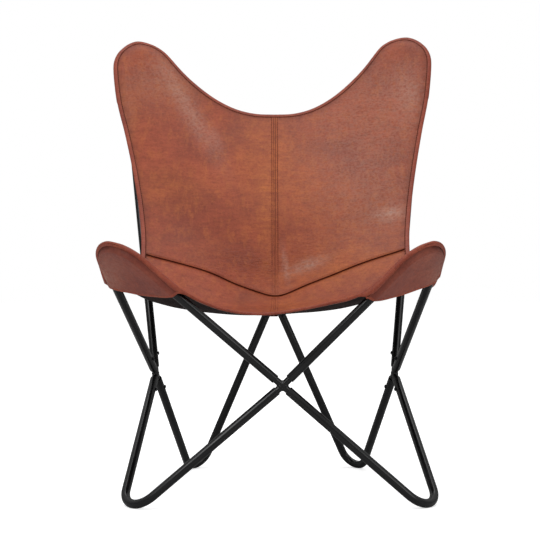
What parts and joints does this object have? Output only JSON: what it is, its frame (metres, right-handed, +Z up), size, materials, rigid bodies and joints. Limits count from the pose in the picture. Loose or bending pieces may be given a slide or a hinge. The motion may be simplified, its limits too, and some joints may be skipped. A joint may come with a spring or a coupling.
{
  "type": "butterfly sling chair",
  "caption": "Butterfly chair: a leather sling with four corner pockets, hung over a black bent-tube frame that crosses at the front, the back and each side.",
  "frame": {"origin": "centre of the chair's bounding box in plan, at floor level", "axes": "+Z up, +Y from the front of the seat to the back, +X to the right seen from the front"},
  "size_m": [0.6888, 0.6714, 0.9363],
  "materials": {
    "frame_tube": "satin black powder coat on steel tube",
    "screw": "blackened steel button-head screws",
    "sling_leather": "full-grain cognac leather, waxed, with a soft sheen",
    "pocket_leather": "the same grain leather, a darker cut with a soft sheen"
  },
  "bodies": {
    "root": {"front_left_leg": "frame_tube", "front_right_leg": "frame_tube", "rear_left_leg": "frame_tube", "rear_right_leg": "frame_tube", "seat_left_arm": "frame_tube", "seat_right_arm": "frame_tube", "back_left_arm": "frame_tube", "back_right_arm": "frame_tube", "front_cross_connector": "frame_tube", "back_cross_connector": "frame_tube", "left_cross_connector": "frame_tube", "right_cross_connector": "frame_tube", "front_cross_screw_lower_left": "screw", "front_cross_screw_lower_right": "screw", "front_cross_screw_upper_left": "screw", "front_cross_screw_upper_right": "screw", "back_cross_screw_lower_left": "screw", "back_cross_screw_lower_right": "screw", "back_cross_screw_upper_left": "screw", "back_cross_screw_upper_right": "screw", "left_cross_screw_lower_front": "screw", "left_cross_screw_lower_rear": "screw", "left_cross_screw_upper_front": "screw", "left_cross_screw_upper_rear": "screw", "right_cross_screw_lower_front": "screw", "right_cross_screw_lower_rear": "screw", "right_cross_screw_upper_front": "screw", "right_cross_screw_upper_rear": "screw", "seat_panel_left": "sling_leather", "seat_panel_right": "sling_leather", "back_panel_left": "sling_leather", "back_panel_right": "sling_leather", "seat_pocket_left": "pocket_leather", "seat_pocket_right": "pocket_leather", "back_pocket_left": "pocket_leather", "back_pocket_right": "pocket_leather", "seat_seam_strip": "pocket_leather", "back_seam_strip": "pocket_leather"}
  },
  "joints": []
}
